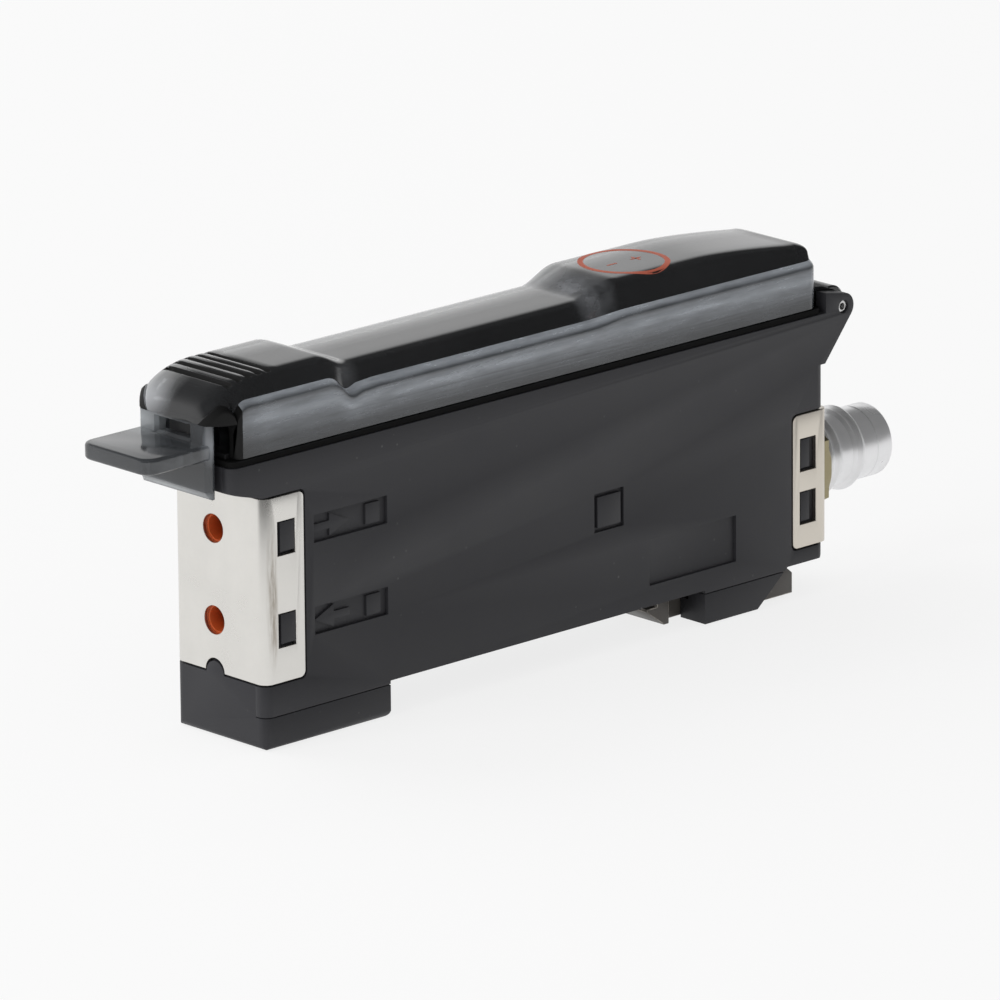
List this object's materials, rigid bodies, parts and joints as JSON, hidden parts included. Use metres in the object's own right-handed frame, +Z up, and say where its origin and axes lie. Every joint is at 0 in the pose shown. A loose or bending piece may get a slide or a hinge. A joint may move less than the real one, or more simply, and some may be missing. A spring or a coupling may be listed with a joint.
{
  "type": "fibre optic sensor amplifier",
  "caption": "Slim rail-mounted fibre optic sensor amplifier with a hinged smoked cover, steel end plates, two sealed fibre inlets, a round threaded plug and a sprung rail latch.",
  "frame": {"origin": "on the plane under the feet, below the middle of the part's box", "axes": "+X from the fibre inlets towards the plug, +Z up from the rail, +Y across the case"},
  "size_m": [0.094, 0.012, 0.0346],
  "materials": {
    "case_plastic": "fine spark texture, dark grey",
    "panel_plastic": "matt black",
    "smoked_cover": "clear smoked polycarbonate, polished",
    "steel_sheet": "nickel plated, satin",
    "plug_metal": "nickel plated, bright",
    "orange_silicone": "orange silicone",
    "black_rubber": "matt black rubber",
    "board": "green solder mask",
    "contact_metal": "gold flashed brass",
    "pin_steel": "plain steel",
    "lamp_lens": "tinted lens",
    "knob_plastic": "light grey",
    "window_plastic": "clear window"
  },
  "bodies": {
    "case": {"main_case": "case_plastic", "side_cover": "case_plastic", "fibre_plate": "steel_sheet", "upper_fibre_seal": "orange_silicone", "lower_fibre_seal": "orange_silicone", "plug_plate": "steel_sheet", "plug_shell": "plug_metal", "plug_insert": "panel_plastic", "contact_pins": "contact_metal", "plug_ring_nut": "contact_metal", "plug_o_ring": "black_rubber", "latch_spring": "pin_steel", "top_panel": "panel_plastic", "cover_gasket": "black_rubber", "hinge_pin": "pin_steel", "fibre_holder": "panel_plastic", "light_emitter": "lamp_lens", "light_receiver": "panel_plastic", "main_board": "board", "board_header": "panel_plastic", "control_board": "board", "level_display": "lamp_lens", "display_window": "window_plastic", "operation_lamp": "lamp_lens", "trimmer": "panel_plastic", "switch_block": "panel_plastic"},
    "cover": {"protective_cover": "smoked_cover"},
    "latch": {"rail_latch": "panel_plastic"},
    "lock": {"fibre_lock_knob": "knob_plastic"},
    "adjuster": {"sensitivity_adjuster": "knob_plastic"},
    "indicator": {"adjuster_indicator": "lamp_lens"},
    "mode": {"mode_switch": "knob_plastic"},
    "timer": {"timer_switch": "knob_plastic"}
  },
  "joints": [
    {"name": "cover_hinge", "type": "hinge", "parent": "case", "child": "cover", "pos_m": [0.03775, 0, 0.027], "axis": [0, 1, 0], "range_deg": [0, 110]},
    {"name": "latch_slide", "type": "slide", "parent": "case", "child": "latch", "axis": [1, 0, 0], "range_m": [0, 0.0022], "stiffness_N_per_m": 600, "springref_m": -0.001, "deforming": ["latch_spring"]},
    {"name": "lock_turn", "type": "hinge", "parent": "case", "child": "lock", "pos_m": [-0.02915, 0.00065, 0.0278], "axis": [0, 0, 1], "range_deg": [0, 90]},
    {"name": "adjuster_turn", "type": "hinge", "parent": "case", "child": "adjuster", "pos_m": [0.01505, 0, 0.0278], "axis": [0, 0, 1], "range_deg": [-1440, 1440]},
    {"name": "indicator_turn", "type": "hinge", "parent": "case", "child": "indicator", "pos_m": [0.01505, 0, 0.0278], "axis": [0, 0, 1], "range_deg": [-151, 151]},
    {"name": "mode_slide", "type": "slide", "parent": "case", "child": "mode", "axis": [1, 0, 0], "range_m": [0, 0.002]},
    {"name": "timer_slide", "type": "slide", "parent": "case", "child": "timer", "axis": [1, 0, 0], "range_m": [0, 0.002]}
  ],
  "couplings": [
    {"joint": "indicator_turn", "follows": "adjuster_turn", "ratio": 0.104}
  ]
}
